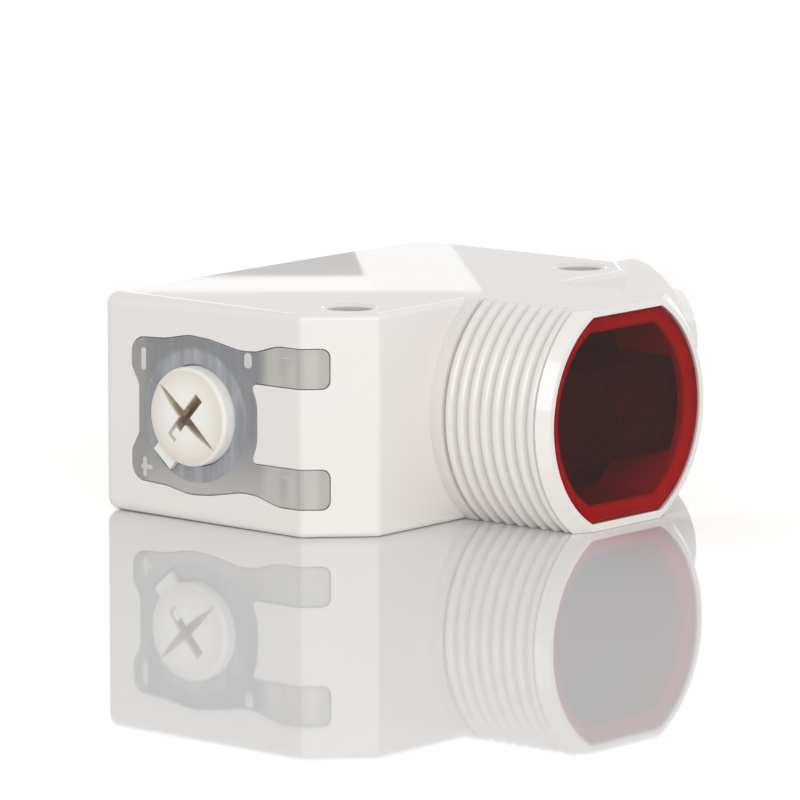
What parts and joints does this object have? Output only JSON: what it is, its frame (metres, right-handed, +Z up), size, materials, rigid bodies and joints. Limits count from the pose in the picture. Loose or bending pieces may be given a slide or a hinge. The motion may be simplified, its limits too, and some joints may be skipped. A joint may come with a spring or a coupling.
{
  "type": "retroreflective photoelectric sensor",
  "caption": "Right-angle retroreflective sensor with a flat-sided threaded nose, red window, sensitivity adjuster, clear indicator plate, side mounting holes and plug connector.",
  "frame": {"origin": "foot of the optical axis on the resting side, in the plane of the front wall that the nose stands out of", "axes": "+X out along the optical axis, +Y towards the connector, +Z up from the flat side it lies on"},
  "size_m": [0.0311, 0.0478, 0.015],
  "materials": {
    "white_plastic": "semi-gloss",
    "red_window": "glossy",
    "smoky_clear": "glossy",
    "knob_plastic": "satin",
    "black_plastic": "matte",
    "seal_rubber": "matte",
    "clear_lens": "glossy",
    "polarising_film": "satin",
    "trimmer_plastic": "satin",
    "board_green": "satin",
    "can_steel": "satin",
    "chip_black": "matte",
    "ceramic": "satin",
    "led_red": "glossy",
    "diode_dark": "glossy",
    "led_green": "glossy",
    "led_amber": "glossy",
    "gold_contact": "polished"
  },
  "bodies": {
    "sensor_body": {"housing": "white_plastic", "rear_cover": "white_plastic", "front_window": "red_window", "indicator_window": "smoky_clear", "adjuster_seal": "seal_rubber", "adjuster_bush": "white_plastic", "trimmer_body": "trimmer_plastic", "optics_carrier": "black_plastic", "emitter_lens": "clear_lens", "receiver_lens": "clear_lens", "emitter_polariser": "polarising_film", "receiver_polariser": "polarising_film", "emitter_led": "led_red", "receiver_diode": "diode_dark", "main_board": "board_green", "shield_can": "can_steel", "amplifier_chip": "chip_black", "control_chip": "chip_black", "output_transistors": "chip_black", "board_capacitors": "ceramic", "power_led": "led_green", "signal_led": "led_amber", "connector_insert": "black_plastic", "contact_pins": "gold_contact", "insert_seal": "seal_rubber", "connector_board": "board_green", "board_header": "black_plastic"},
    "adjuster": {"adjuster_knob": "knob_plastic", "trimmer_rotor": "knob_plastic"}
  },
  "joints": [
    {"name": "sensitivity_turn", "type": "hinge", "parent": "sensor_body", "child": "adjuster", "pos_m": [-0.013, -0.018, 0.0073], "axis": [0, -1, 0], "range_deg": [0, 270]}
  ]
}
